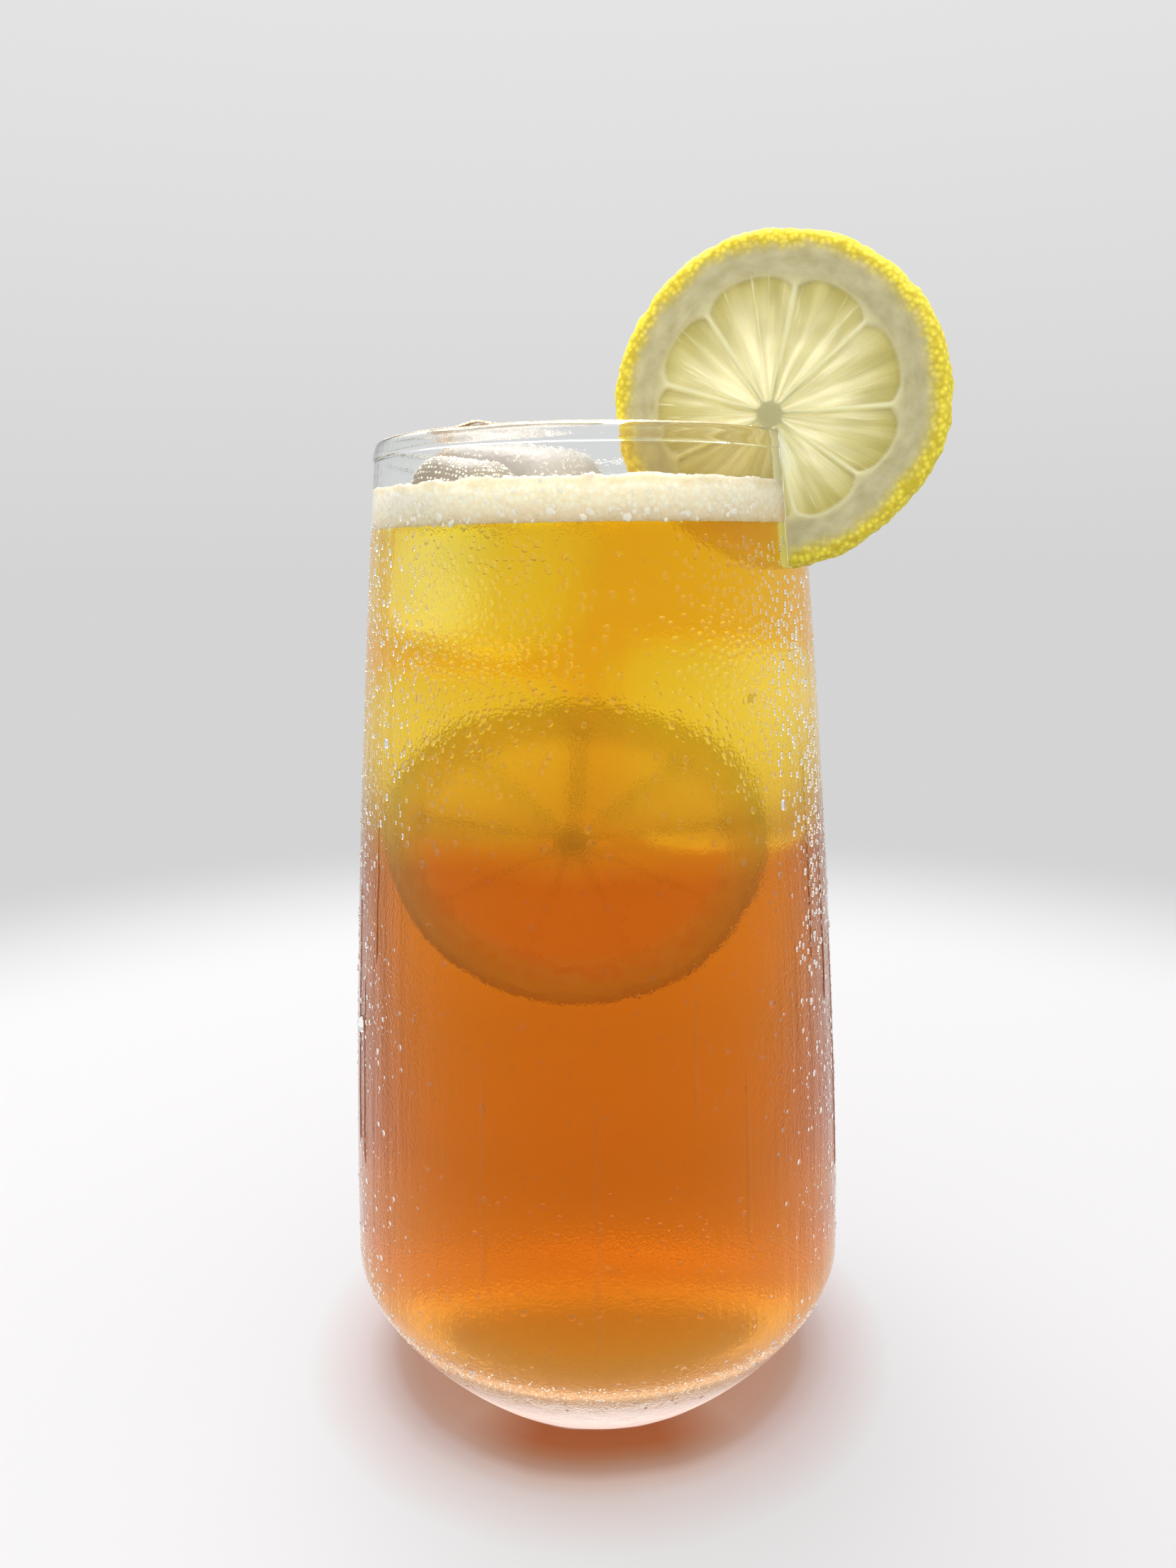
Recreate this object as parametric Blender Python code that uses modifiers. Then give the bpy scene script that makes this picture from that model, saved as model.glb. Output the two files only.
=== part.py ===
# A tumbler of iced tea with froth, two pieces of ice that stand out of the drink
# and a lemon wheel that straddles the rim.
# Metres, +Z up. The origin is the centre of the foot, on the axis of the glass.
# The glass is looked at along +Y, so its front is at -Y and the wheel at +X.

import math

import bpy
import bmesh
from mathutils import Euler, Matrix, Vector, noise

MM = 0.001

# Glass
HEIGHT = 150 * MM
RIM_RADIUS = 32.2 * MM
BELLY_RADIUS = 40.3 * MM
BELLY_HEIGHT = 20 * MM
FOOT_RADIUS = 25.8 * MM
FOOT_ROUNDING = 0.8 * MM
CURVE_POWER = 1.5
WALL_AT_RIM = 1.6 * MM
WALL_AT_BELLY = 2.2 * MM
BASE_THICKNESS = 10 * MM
BOWL_HEIGHT = 15 * MM
BOWL_POWER = 3.0
TURN_STEPS = 48
FOOT_ROWS = 8
SIDE_ROWS = 10
INNER_ROWS = 10
BOWL_ROWS = 7
LIP_ROWS = 6

# Contents
GAP = 0.3 * MM
TEA_TOP = 137.2 * MM
FROTH_TOP = 142.6 * MM
FROTH_EDGE_RISE = 0.5 * MM
FROTH_BUMP = 0.45 * MM
FROTH_BUMP_SIZE = 3.2 * MM
FROTH_RINGS = 8

# Ice: full size, place of the middle, turn about X, Y, Z in degrees
ICE_SQUARENESS = 4.5
ICE_CUTS = 6
ICE_WOBBLE = 0.035
ICE_PIECES = {
    "ice_large": ((25 * MM, 24 * MM, 33 * MM), (-12 * MM, 4.5 * MM, 134.4 * MM), (4, 9, -22)),
    "ice_small": ((13.5 * MM, 11 * MM, 25 * MM), (-18.6 * MM, -15.2 * MM, 134.3 * MM), (-3, 8, -40)),
}

# Lemon wheel
WHEEL_RADIUS = 23.1 * MM
WHEEL_THICKNESS = 4.6 * MM
WHEEL_CENTRE = Vector((26.7 * MM, -16.4 * MM, 153.6 * MM))
WHEEL_TURN = math.radians(-15)
WHEEL_OUTLINE = ((2, 0.009, 1.0), (3, 0.009, 1.7), (4, 0.004, 1.8), (6, 0.003, 2.8), (8, 0.005, -2.4))
RIND_ROUNDING = 1.3 * MM
FLESH_SHARE = 0.72
HUB_SHARE = 0.12
FLESH_DIP = 0.35 * MM
MEMBRANE_ANGLES = (11, 48, 88, 125, 165, 205, 248, 288, 327)
MEMBRANE_WIDTH = math.radians(5)
WHEEL_STEPS = 64
FLESH_RINGS = 5
RIND_ROWS = 5

# Colours from the photograph, as linear red, green and blue, with the roughness
MATERIALS = {
    "glass": ((0.80, 0.82, 0.82), 0.08, 0.95),
    "tea": ((0.62, 0.20, 0.02), 0.10, 0.80),
    "foam": ((0.86, 0.76, 0.52), 0.60, 0.0),
    "ice_large": ((0.78, 0.74, 0.66), 0.20, 0.60),
    "ice_small": ((0.78, 0.72, 0.62), 0.20, 0.60),
    "lemon_wheel": ((0.80, 0.68, 0.16), 0.45, 0.0),
}


def clear_scene():
    for obj in list(bpy.data.objects):
        bpy.data.objects.remove(obj, do_unlink=True)


def new_collection(name):
    collection = bpy.data.collections.new(name)
    bpy.context.scene.collection.children.link(collection)
    return collection


def material_for(name):
    colour, roughness, transmission = MATERIALS[name]
    material = bpy.data.materials.new(name)
    material.use_nodes = True
    shader = material.node_tree.nodes["Principled BSDF"]
    shader.inputs["Base Color"].default_value = (*colour, 1)
    shader.inputs["Roughness"].default_value = roughness
    shader.inputs["Metallic"].default_value = 0
    shader.inputs["Transmission Weight"].default_value = transmission
    return material


def add_object(name, mesh, collection):
    obj = bpy.data.objects.new(name, mesh)
    collection.objects.link(obj)
    return obj


def outer_radius(z):
    """Radius of the outside of the glass: narrow foot, full belly, drawn-in rim."""
    if z < BELLY_HEIGHT:
        share = (BELLY_HEIGHT - z) / BELLY_HEIGHT
        return BELLY_RADIUS - (BELLY_RADIUS - FOOT_RADIUS) * share ** CURVE_POWER
    share = (z - BELLY_HEIGHT) / (HEIGHT - BELLY_HEIGHT)
    return BELLY_RADIUS - (BELLY_RADIUS - RIM_RADIUS) * share ** CURVE_POWER


def inner_radius(z):
    """Radius of the inside, with a rounded bowl at the bottom."""
    share = min(max((z - BELLY_HEIGHT) / (HEIGHT - BELLY_HEIGHT), 0), 1)
    wall = WALL_AT_BELLY + (WALL_AT_RIM - WALL_AT_BELLY) * share
    bowl_top = BASE_THICKNESS + BOWL_HEIGHT
    radius = outer_radius(max(z, BELLY_HEIGHT)) - wall
    if z < bowl_top:
        depth = (bowl_top - z) / BOWL_HEIGHT
        radius *= max(1 - depth ** BOWL_POWER, 0) ** (1 / BOWL_POWER)
    return radius


def spread(low, high, rows):
    """Evenly spaced values from low to high, both ends included."""
    return [low + (high - low) * i / rows for i in range(rows + 1)]


def inner_wall(top, lift):
    """Profile of the inside from the floor's middle up to top, lift clear of the glass."""
    bowl_top = BASE_THICKNESS + BOWL_HEIGHT
    points = [(0, BASE_THICKNESS + lift)]
    for i in range(1, BOWL_ROWS):
        turn = math.pi / 2 * i / BOWL_ROWS
        z = bowl_top - BOWL_HEIGHT * math.cos(turn) ** (2 / BOWL_POWER)
        points.append((inner_radius(z) - lift, z + lift))
    for z in spread(bowl_top, top, INNER_ROWS):
        points.append((inner_radius(z) - lift, max(z, bowl_top + lift)))
    return points


def lip():
    """Half round that joins the inside of the rim to its outside."""
    inside = inner_radius(HEIGHT)
    half = (RIM_RADIUS - inside) / 2
    middle = inside + half
    points = []
    for i in range(1, LIP_ROWS):
        turn = math.pi * i / LIP_ROWS
        points.append((middle - half * math.cos(turn), HEIGHT - half + half * math.sin(turn)))
    return points


def glass_profile():
    lip_bottom = HEIGHT - (RIM_RADIUS - inner_radius(HEIGHT)) / 2
    points = inner_wall(lip_bottom, 0)
    points += lip()
    heights = spread(FOOT_ROUNDING, BELLY_HEIGHT, FOOT_ROWS)
    heights += spread(BELLY_HEIGHT, lip_bottom, SIDE_ROWS)[1:]
    points += [(outer_radius(z), z) for z in reversed(heights)]
    points.append((FOOT_RADIUS - FOOT_ROUNDING / 2, 0))
    points.append((0, 0))
    return points


def turned(name, points, steps, collection):
    """Solid of revolution about Z from a profile of (radius, height)."""
    mesh = bpy.data.meshes.new(name)
    vertices = [(radius, 0, z) for radius, z in points]
    mesh.from_pydata(vertices, [(i, i + 1) for i in range(len(vertices) - 1)], [])
    obj = add_object(name, mesh, collection)
    screw = obj.modifiers.new("Turn", "SCREW")
    screw.steps = steps
    screw.render_steps = steps
    screw.use_merge_vertices = True
    screw.merge_threshold = 0.01 * MM
    return obj


def baked(obj):
    """Replace an object's mesh by what its modifiers make of it."""
    graph = bpy.context.evaluated_depsgraph_get()
    mesh = bpy.data.meshes.new_from_object(obj.evaluated_get(graph))
    obj.modifiers.clear()
    obj.data = mesh
    return obj


def smooth(obj, degrees=30):
    for polygon in obj.data.polygons:
        polygon.use_smooth = True
    obj.data.set_sharp_from_angle(angle=math.radians(degrees))


def as_cutter(obj):
    obj.hide_render = True
    obj.display_type = "WIRE"
    return obj


def cut(obj, cutter):
    boolean = obj.modifiers.new("Cut round " + cutter.name, "BOOLEAN")
    boolean.operation = "DIFFERENCE"
    boolean.solver = "EXACT"
    boolean.object = cutter


def ice_block(name, grow, collection):
    """Block with melted edges; grow makes the same block larger on every side."""
    size, place, angles = ICE_PIECES[name]
    half = Vector(size) / 2 + Vector((grow, grow, grow))
    bm = bmesh.new()
    bmesh.ops.create_cube(bm, size=2)
    bmesh.ops.subdivide_edges(bm, edges=bm.edges[:], cuts=ICE_CUTS, use_grid_fill=True)
    seed = Vector(place) / MM
    for vertex in bm.verts:
        reach = sum(abs(c) ** ICE_SQUARENESS for c in vertex.co) ** (1 / ICE_SQUARENESS)
        shape = vertex.co / reach
        shape *= 1 + ICE_WOBBLE * noise.noise(shape * 1.3 + seed)
        vertex.co = Vector([s * h for s, h in zip(shape, half)])
    mesh = bpy.data.meshes.new(name)
    bm.to_mesh(mesh)
    bm.free()
    obj = add_object(name, mesh, collection)
    obj.location = place
    obj.rotation_euler = Euler([math.radians(a) for a in angles])
    return obj


def wheel_profile(grow):
    """Half section of the wheel: flat faces and a rounded rind."""
    half = WHEEL_THICKNESS / 2 + grow
    radius = WHEEL_RADIUS + grow
    rounding = RIND_ROUNDING
    flesh = WHEEL_RADIUS * FLESH_SHARE
    hub = WHEEL_RADIUS * HUB_SHARE
    face = [0] + spread(hub, flesh, FLESH_RINGS) + [flesh + 1.2 * MM]
    edge = []
    for i in range(RIND_ROWS + 1):
        turn = math.pi / 2 * i / RIND_ROWS
        across = half * math.cos(turn)
        edge.append((radius - rounding + rounding * math.sin(turn), across))
    top = [(r, half) for r in face] + edge
    return top + [(r, -z) for r, z in reversed(top[:-1])]


def wheel_outline(angle):
    """Share of the radius at an angle: a lemon is never quite round."""
    return 1 + sum(depth * math.sin(waves * angle + start) for waves, depth, start in WHEEL_OUTLINE)


def flesh_dip(angle, radius):
    """How far the flesh lies below the pith and the membranes at this place."""
    hub = WHEEL_RADIUS * HUB_SHARE
    flesh = WHEEL_RADIUS * FLESH_SHARE
    if not hub < radius < flesh * 0.999:
        return 0
    nearest = min(abs(math.remainder(angle - math.radians(90 - a), math.tau)) for a in MEMBRANE_ANGLES)
    return FLESH_DIP * min(nearest / MEMBRANE_WIDTH, 1)


def lemon_wheel(name, grow, relief, collection):
    """Slice of lemon standing on its rind, facing -Y before it is turned to its place."""
    obj = baked(turned(name, wheel_profile(grow), WHEEL_STEPS, collection))
    for vertex in obj.data.vertices:
        x, y, z = vertex.co
        radius = math.hypot(x, y)
        angle = math.atan2(y, x)
        dip = flesh_dip(angle, radius) * relief
        scale = wheel_outline(angle)
        vertex.co = (x * scale, y * scale, z - math.copysign(dip, z))
    stand = Matrix.Rotation(math.pi / 2, 4, "X")
    turn = Matrix.Rotation(WHEEL_TURN, 4, "Z")
    obj.matrix_world = Matrix.Translation(WHEEL_CENTRE) @ turn @ stand
    return obj


def wall_cutter(collection):
    """The wall of the glass made GAP larger on each side: the slit of the wheel."""
    low = TEA_TOP - 12 * MM
    top = HEIGHT + GAP
    inside = [(inner_radius(z) - GAP, z) for z in spread(low, HEIGHT, 3)]
    outside = [(outer_radius(z) + GAP, z) for z in spread(low, HEIGHT, 3)]
    points = [inside[0]] + inside[1:-1] + [(inside[-1][0], top), (outside[-1][0], top)]
    points += list(reversed(outside[:-1])) + [inside[0]]
    cutter = turned("cutter_wall", points, TURN_STEPS, collection)
    return as_cutter(cutter)


def tea_profile():
    return list(reversed(inner_wall(TEA_TOP, GAP) + [(0, TEA_TOP)]))


def froth_height(x, y):
    """Top of the froth: bumps of bubbles, drawn up a little along the wall."""
    place = Vector((x, y, 0)) / FROTH_BUMP_SIZE
    radius = math.hypot(x, y) / inner_radius(FROTH_TOP)
    return FROTH_TOP + FROTH_BUMP * noise.noise(place) + FROTH_EDGE_RISE * radius ** 4


def make_froth(name, collection):
    low = TEA_TOP + GAP
    edge_low = inner_radius(low) - GAP
    edge_top = inner_radius(FROTH_TOP) - GAP
    points = [(r, FROTH_TOP) for r in spread(0, edge_top, FROTH_RINGS)]
    points += [(edge_low, low), (0, low)]
    froth = baked(turned(name, points, TURN_STEPS, collection))
    for vertex in froth.data.vertices:
        if vertex.co.z > (low + FROTH_TOP) / 2:
            vertex.co.z = froth_height(vertex.co.x, vertex.co.y)
    return froth


def build():
    clear_scene()
    parts = new_collection("glass_of_lemon_iced_tea")
    cutters = new_collection("cutters")

    glass = turned("glass", glass_profile(), TURN_STEPS, parts)
    ices = [ice_block(name, 0, parts) for name in ICE_PIECES]
    wheel = lemon_wheel("lemon_wheel", 0, 1, parts)
    tea = turned("tea", tea_profile(), TURN_STEPS, parts)
    foam = make_froth("foam", parts)

    cut(wheel, wall_cutter(cutters))
    rooms = [as_cutter(ice_block(name, GAP, cutters)) for name in ICE_PIECES]
    rooms.append(as_cutter(lemon_wheel("cutter_wheel", GAP, 0, cutters)))
    for room in rooms:
        cut(tea, room)
        cut(foam, room)

    for obj in [glass, tea, foam, wheel] + ices:
        smooth(obj)
        obj.data.materials.append(material_for(obj.name))


build()
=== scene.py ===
import math
import random

import bpy
import bmesh
from mathutils import Euler, Matrix, Vector, noise


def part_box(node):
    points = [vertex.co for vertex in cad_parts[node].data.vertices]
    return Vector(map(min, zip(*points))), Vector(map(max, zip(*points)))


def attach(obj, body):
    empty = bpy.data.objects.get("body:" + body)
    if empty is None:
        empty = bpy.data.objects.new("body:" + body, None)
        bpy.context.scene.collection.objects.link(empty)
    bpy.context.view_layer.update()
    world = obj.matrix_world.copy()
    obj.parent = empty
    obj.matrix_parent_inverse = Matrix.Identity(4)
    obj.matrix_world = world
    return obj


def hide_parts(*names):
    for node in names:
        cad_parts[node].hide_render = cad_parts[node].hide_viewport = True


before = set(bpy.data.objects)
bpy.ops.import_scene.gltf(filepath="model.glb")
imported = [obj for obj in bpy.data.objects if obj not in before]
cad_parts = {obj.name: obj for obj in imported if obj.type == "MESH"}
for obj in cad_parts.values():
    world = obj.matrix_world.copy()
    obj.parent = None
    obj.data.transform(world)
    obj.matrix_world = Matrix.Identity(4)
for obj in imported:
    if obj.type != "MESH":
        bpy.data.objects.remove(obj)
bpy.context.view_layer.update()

MM = 0.001
BODY = "root"

# The form of the tumbler, as in the solids
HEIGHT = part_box("glass")[1].z
BELLY_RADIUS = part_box("glass")[1].x
BELLY_HEIGHT = 20 * MM
RIM_RADIUS = 32.2 * MM
FOOT_RADIUS = 25.8 * MM
FOOT_ROUNDING = 0.8 * MM
CURVE_POWER = 1.5
WALL_AT_RIM = 1.6 * MM
WALL_AT_BELLY = 2.2 * MM
BASE_THICKNESS = 10 * MM
BOWL_HEIGHT = 15 * MM
BOWL_POWER = 3.0
TURN_STEPS = 192
# The lip swells outwards by the rise over this height
LIP_HEIGHT = 1.9 * MM
LIP_RISE = 0.22 * MM

# The drink
TEA_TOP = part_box("tea")[1].z
INTO_WALL = 0.35 * MM
FROTH_TOP = 142.6 * MM

# Colour of the tea by its height: what it lets through, lighter near the top as painted light from the ice
# and froth, and a painted glow
TEA_TINT_AND_PAINTED_LIGHT = ((0.0, (0.80, 0.48, 0.23)), (0.12, (0.74, 0.45, 0.23)), (0.25, (0.68, 0.42, 0.23)),
            (0.35, (0.56, 0.37, 0.23)), (0.50, (0.70, 0.43, 0.23)), (0.65, (0.79, 0.49, 0.23)),
            (0.725, (0.98, 0.95, 0.46)), (1.0, (0.93, 0.92, 0.44)))
# Painted glow: light sent down by ice and froth, and light gathered at the bottom, given as emission
TEA_PAINTED_GLOW = ((0.0, (0.05, 0.02, 0.006)), (0.15, (0.03, 0.012, 0.004)), (0.30, (0.03, 0.01, 0.003)),
            (0.65, (0.03, 0.012, 0.003)), (0.725, (0.14, 0.11, 0.006)), (1.0, (0.10, 0.08, 0.004)))

# Ice: full size, place of the middle, turn about X, Y, Z in degrees
ICE_SQUARENESS = 4.5
ICE_WOBBLE = 0.035
ICE_OUT = {
    "ice_large": ((25 * MM, 24 * MM, 33 * MM), (-12 * MM, 4.5 * MM, 134.4 * MM), (4, 9, -22)),
    "ice_small": ((13.5 * MM, 11 * MM, 25 * MM), (-18.6 * MM, -15.2 * MM, 134.3 * MM), (-3, 8, -40)),
}
ICE_SUNK = {
    "sunk_ice_right": ((28 * MM, 29 * MM, 31 * MM), (15.5 * MM, -1 * MM, 104 * MM), (3, 4, 20)),
    "sunk_ice_left": ((27 * MM, 27 * MM, 27 * MM), (-15 * MM, 6 * MM, 101 * MM), (-4, 3, -14)),
}
# Milky places in the sunk ice, given a painted glow: middle and reach
MILKY_ICE_GLOW_SPOTS = ((Vector((27 * MM, -10 * MM, 117 * MM)), 9 * MM),
              (Vector((-22 * MM, -6 * MM, 126 * MM)), 9 * MM))
# Room left in tea and froth round a block of ice, and how far a sunk block stays inside its room
ROOM_GAP = 0.05 * MM
SUNK_ICE_SHRINK = 0.1 * MM
# Crumb of tea leaf, given like the ice
LEAF = ((1.3 * MM, 0.6 * MM, 1.6 * MM), (21.6 * MM, -24.8 * MM, 113.3 * MM), (10, 35, 43))

# Lemon wheel on the rim and lemon slice sunk in the tea
WHEEL_RADIUS = 23.1 * MM
WHEEL_THICKNESS = 4.6 * MM
WHEEL_CENTRE = Vector((26.7 * MM, -16.4 * MM, 153.6 * MM))
WHEEL_TURN = math.radians(-15)
WHEEL_OUTLINE = ((2, 0.009, 1.0), (3, 0.009, 1.7), (4, 0.004, 1.8), (6, 0.003, 2.8), (8, 0.005, -2.4))
WHEEL_HUB = (-0.8 * MM, -1.7 * MM)
WHEEL_MEMBRANES = (11, 48, 88, 125, 165, 205, 248, 288, 327)
SUNK_RADIUS = 25.2 * MM
SUNK_CENTRE = Vector((-2.6 * MM, -14.4 * MM, 90.8 * MM))
SUNK_LEAN = math.radians(-42)
SUNK_MEMBRANES = (6, 46, 84, 122, 160, 200, 240, 282, 324)
SUNK_THICKNESS = 4.2 * MM
SUNK_TURN = math.radians(3)
# Radius of the flesh as a share of the slice, and how deep it lies below pith and membranes
WHEEL_FLESH = 0.745
WHEEL_RELIEF = 1.0
SUNK_FLESH = 0.83
SUNK_RELIEF = 0.15
# Gap between the wall of the glass and the sides of the wheel's slit
SLIT_GAP = 0.1 * MM

# Condensation: turn from the front in degrees, height, reach in degrees and in height, weight
WET_SPOTS = ((44, 119, 20, 15, 1.6), (-40, 122, 22, 16, 1.4), (66, 72, 12, 34, 0.4), (-66, 88, 10, 40, 0.4),
             (150, 95, 30, 25, 0.5), (-140, 110, 25, 20, 0.5), (110, 50, 20, 25, 0.4))
# Close-set drops in relief: turn in degrees, height in mm, spread of both, how many
RELIEF_SPOTS = ((-27, 122, 12, 9, 1100), (37, 121, 9, 9, 1000), (61, 92, 4, 10, 260))
# No two drops on the glass overlap; each is compared with those in the cells round its own
DROP_CELL = 1.7 * MM
NEAR_CELLS = [(x, y, z) for x in (-1, 0, 1) for y in (-1, 0, 1) for z in (-1, 0, 1)]
# Scattered drops: how many are tried, least and largest half width, seed
BEAD_DROPS = (1700, 0.30 * MM, 0.58 * MM, 22)
FINE_DROPS = (8000, 0.13 * MM, 0.34 * MM, 21)
# Large beads: turn in degrees, height and half width in mm
LARGE_BEADS = ((-69, 62, 1.1), (-55, 107, 0.7), (48, 98, 0.8), (14, 116, 0.5), (47, 104, 0.5), (-24, 58, 0.6),
               (12, 77, 0.5), (100, 84, 0.9), (-120, 96, 0.8), (160, 66, 1.0), (-165, 48, 0.7))
# Runs of water: turn in degrees, top and length in mm
WATER_RUNS = ((-71, 84, 42), (-66, 70, 30), (-58, 96, 22), (-24, 66, 34), (0, 60, 36), (21, 74, 18),
              (33, 62, 26), (58, 104, 30), (66, 90, 24), (74, 76, 40), (95, 110, 46), (118, 82, 38),
              (142, 70, 30), (168, 98, 44), (-170, 74, 28), (-148, 88, 40), (-122, 72, 36), (-98, 104, 50))

# Camera, fitted to the outline of the tumbler in the photograph
CAMERA_DISTANCE = 191.35 * MM
CAMERA_HEIGHT = 131.3 * MM
CAMERA_PITCH = math.radians(10.17)
CAMERA_ROLL = math.radians(-0.82)
CAMERA_YAW = math.radians(0.18)
CAMERA_LENS_MM = 27.6
CAMERA_SENSOR_MM = 36

# Studio: how bright the surroundings are by the upward part of the direction
SKY_LEVELS = ((0.0, 0.66), (0.40, 0.78), (0.55, 1.4), (0.85, 2.2))
SKY_STRENGTH = 2.2
ROOM_IN_FRONT = 1.5
LAMP_PLACE = (-0.15, 0.25, 0.8)
LAMP_AIM = (0, 0, 0.1)
LAMP_SIZE = 0.6
LAMP_POWER = 6
# How often light is followed through glass, tea, ice and drops
LIGHT_BOUNCES = 16
CLEAR_BOUNCES = 12

# Floor: how much it reflects and glows, and its tint by the distance from the axis of the glass: painted
# light under the foot and a painted, tea-coloured shadow round it
FLOOR_WHITENESS = 0.19
FLOOR_GLOW = 0.44
FLOOR_RADIUS = 0.42
FLOOR_FADE = (0.22, 0.40)
PAINTED_SHADOW_REACH = 50 * MM
PAINTED_LIGHT_UNDER_FOOT = ((0.0, (0.55, 0.49, 0.42)), (0.38, (0.55, 0.49, 0.42)), (0.46, (1.7, 1.6, 1.5)),
              (0.50, (1.7, 1.6, 1.5)))
PAINTED_SHADOW_FRONT = (*PAINTED_LIGHT_UNDER_FOOT, (0.515, (0.53, 0.133, 0.03)), (0.59, (0.53, 0.135, 0.032)),
              (0.64, (0.54, 0.216, 0.098)), (0.69, (0.62, 0.355, 0.253)), (0.735, (0.84, 0.62, 0.53)),
              (0.80, (0.93, 0.80, 0.76)), (1.0, (1.0, 0.985, 0.985)))
PAINTED_SHADOW_ASIDE = (*PAINTED_LIGHT_UNDER_FOOT, (0.515, (0.72, 0.375, 0.24)), (0.64, (0.69, 0.39, 0.28)),
              (0.69, (0.71, 0.45, 0.35)), (0.72, (0.79, 0.576, 0.518)), (0.80, (0.92, 0.77, 0.74)),
              (1.0, (1.0, 0.985, 0.985)))


def outer_radius(z):
    """Radius of the outside of the glass: narrow foot, full belly, drawn-in rim."""
    if z < BELLY_HEIGHT:
        share = (BELLY_HEIGHT - z) / BELLY_HEIGHT
        return BELLY_RADIUS - (BELLY_RADIUS - FOOT_RADIUS) * share ** CURVE_POWER
    share = (z - BELLY_HEIGHT) / (HEIGHT - BELLY_HEIGHT)
    return BELLY_RADIUS - (BELLY_RADIUS - RIM_RADIUS) * share ** CURVE_POWER


def inner_radius(z):
    """Radius of the inside, with a rounded bowl at the bottom."""
    share = min(max((z - BELLY_HEIGHT) / (HEIGHT - BELLY_HEIGHT), 0), 1)
    wall = WALL_AT_BELLY + (WALL_AT_RIM - WALL_AT_BELLY) * share
    bowl_top = BASE_THICKNESS + BOWL_HEIGHT
    radius = outer_radius(max(z, BELLY_HEIGHT)) - wall
    if z < bowl_top:
        depth = (bowl_top - z) / BOWL_HEIGHT
        radius *= max(1 - depth ** BOWL_POWER, 0) ** (1 / BOWL_POWER)
    return radius


def spread(low, high, rows):
    return [low + (high - low) * i / rows for i in range(rows + 1)]


def smoothstep(low, high, value):
    """Smooth change from 0 at low to 1 at high; low may be the larger of the two."""
    share = min(max((value - low) / (high - low), 0), 1)
    return share * share * (3 - 2 * share)


def inner_wall(top, sink):
    """Profile of the inside from the middle of the floor up to top, sink deep in the glass."""
    bowl_top = BASE_THICKNESS + BOWL_HEIGHT
    rows = 18
    points = [(0, BASE_THICKNESS - sink)]
    for i in range(1, rows):
        turn = math.pi / 2 * i / rows
        z = bowl_top - BOWL_HEIGHT * math.cos(turn) ** (2 / BOWL_POWER)
        points.append((inner_radius(z) + sink, z - sink))
    for z in spread(bowl_top, top, 48):
        points.append((inner_radius(z) + sink, z))
    return points


def glass_profile():
    inside = inner_radius(HEIGHT)
    half = (RIM_RADIUS - inside) / 2
    lip_bottom = HEIGHT - half
    points = inner_wall(lip_bottom, 0)
    for i in range(1, 12):
        turn = math.pi * i / 12
        points.append((inside + half - half * math.cos(turn), lip_bottom + half * math.sin(turn)))
    swell_bottom = lip_bottom - LIP_HEIGHT
    heights = spread(FOOT_ROUNDING, BELLY_HEIGHT, 16) + spread(BELLY_HEIGHT, swell_bottom, 44)[1:]
    for z in reversed(spread(swell_bottom, lip_bottom, 12)[1:]):
        rise = math.sin(math.pi * ((z - swell_bottom) / LIP_HEIGHT) ** 0.45)
        points.append((outer_radius(z) + LIP_RISE * rise, z))
    points += [(outer_radius(z), z) for z in reversed(heights)]
    points.append((FOOT_RADIUS - FOOT_ROUNDING / 3, FOOT_ROUNDING / 3))
    points.append((FOOT_RADIUS - FOOT_ROUNDING, 0))
    points.append((0, 0))
    return points


def link(obj):
    bpy.context.scene.collection.objects.link(obj)
    return obj


def mesh_object(name, vertices, faces):
    mesh = bpy.data.meshes.new(name)
    mesh.from_pydata(vertices, [], faces)
    mesh.update()
    return link(bpy.data.objects.new(name, mesh))


def band(first, second, steps):
    """Faces between two rings of vertices, each ring given by its first vertex."""
    turns = [(i, (i + 1) % steps) for i in range(steps)]
    return [(first + i, first + j, second + j, second + i) for i, j in turns]


def turned(name, points, steps=TURN_STEPS):
    """Solid of revolution about Z from a profile of (radius, height), outer side running down."""
    turns = [math.tau * i / steps for i in range(steps)]
    vertices = []
    rows = []
    for radius, z in points:
        start = len(vertices)
        if radius < 1e-9:
            rows.append([start] * steps)
            vertices.append((0, 0, z))
        else:
            rows.append(list(range(start, start + steps)))
            vertices += [(radius * math.cos(turn), radius * math.sin(turn), z) for turn in turns]
    faces = []
    for upper, lower in zip(rows, rows[1:]):
        for i in range(steps):
            j = (i + 1) % steps
            face = [upper[i], lower[i], lower[j], upper[j]]
            faces.append([v for k, v in enumerate(face) if v != face[k - 1]])
    return mesh_object(name, vertices, faces)


def smooth(obj, degrees=40):
    for polygon in obj.data.polygons:
        polygon.use_smooth = True
    obj.data.set_sharp_from_angle(angle=math.radians(degrees))
    return obj


def cut(obj, cutters):
    """Take the cutters out of an object for good and remove them."""
    for cutter in cutters:
        boolean = obj.modifiers.new("Cut", "BOOLEAN")
        boolean.operation = "DIFFERENCE"
        boolean.solver = "EXACT"
        boolean.object = cutter
    graph = bpy.context.evaluated_depsgraph_get()
    mesh = bpy.data.meshes.new_from_object(obj.evaluated_get(graph))
    obj.modifiers.clear()
    obj.data = mesh
    for cutter in cutters:
        bpy.data.objects.remove(cutter)
    return obj


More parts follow.
